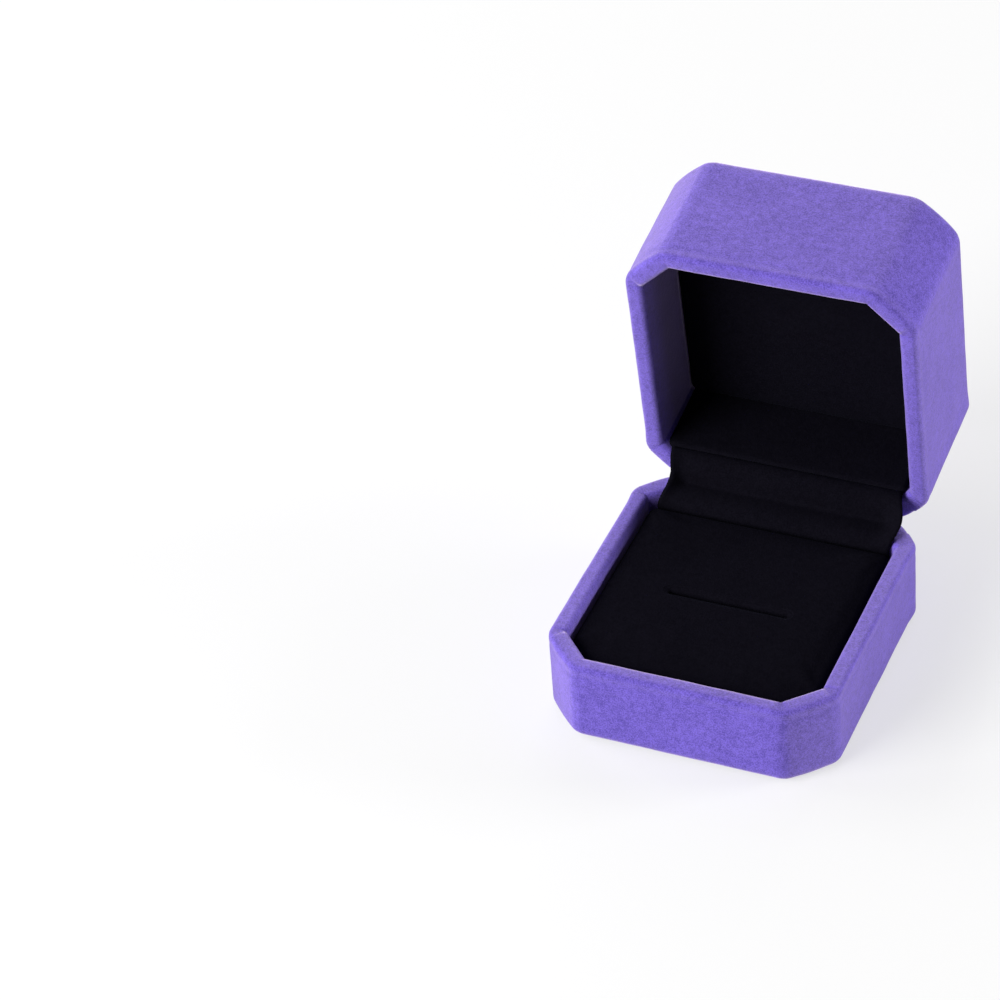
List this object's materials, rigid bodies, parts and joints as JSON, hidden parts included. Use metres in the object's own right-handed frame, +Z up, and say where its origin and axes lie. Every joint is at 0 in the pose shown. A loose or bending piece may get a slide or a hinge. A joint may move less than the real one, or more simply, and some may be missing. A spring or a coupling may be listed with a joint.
{
  "type": "velvet jewelry box",
  "caption": "Corner-cut velvet jewelry box with a hinged lid, padded lid top, black velvet pad with a holding slit, lined lid and a hidden snap hinge.",
  "frame": {"origin": "middle of the box's flat underside", "axes": "+Z up, +Y to the hinged back, +X to the right of someone facing the open box"},
  "size_m": [0.058, 0.09, 0.0794],
  "materials": {
    "purple_velvet": "matte",
    "black_velvet": "matte",
    "black_felt": "matte",
    "foam": "matte",
    "grey_board": "matte",
    "shell_plastic": "satin",
    "hinge_steel": "satin",
    "spring_steel": "satin"
  },
  "bodies": {
    "base": {"base_bottom_felt": "black_felt", "base_bottom_card": "grey_board", "base_velvet_wrap": "purple_velvet", "base_shell": "shell_plastic", "pad_board": "grey_board", "pad_foam": "foam", "pad_velvet": "black_velvet", "hinge_base_leaf": "hinge_steel", "hinge_pin": "hinge_steel", "base_leaf_rivets": "hinge_steel", "hinge_snap_spring": "spring_steel", "hinge_flap": "black_velvet"},
    "lid": {"lid_shell": "shell_plastic", "lid_velvet_wrap": "purple_velvet", "lining_board": "grey_board", "lining_foam": "foam", "lining_velvet": "black_velvet", "back_panel_board": "grey_board", "back_panel_velvet": "black_velvet", "cushion_board": "grey_board", "cushion_foam": "foam", "cushion_velvet": "purple_velvet", "hinge_lid_leaf": "hinge_steel", "lid_leaf_rivets": "hinge_steel"}
  },
  "joints": [
    {"name": "lid_hinge", "type": "hinge", "parent": "base", "child": "lid", "pos_m": [0, 0.02905, 0.016], "axis": [1, 0, 0], "range_deg": [0, 82], "deforming": ["hinge_flap", "hinge_snap_spring"]}
  ]
}
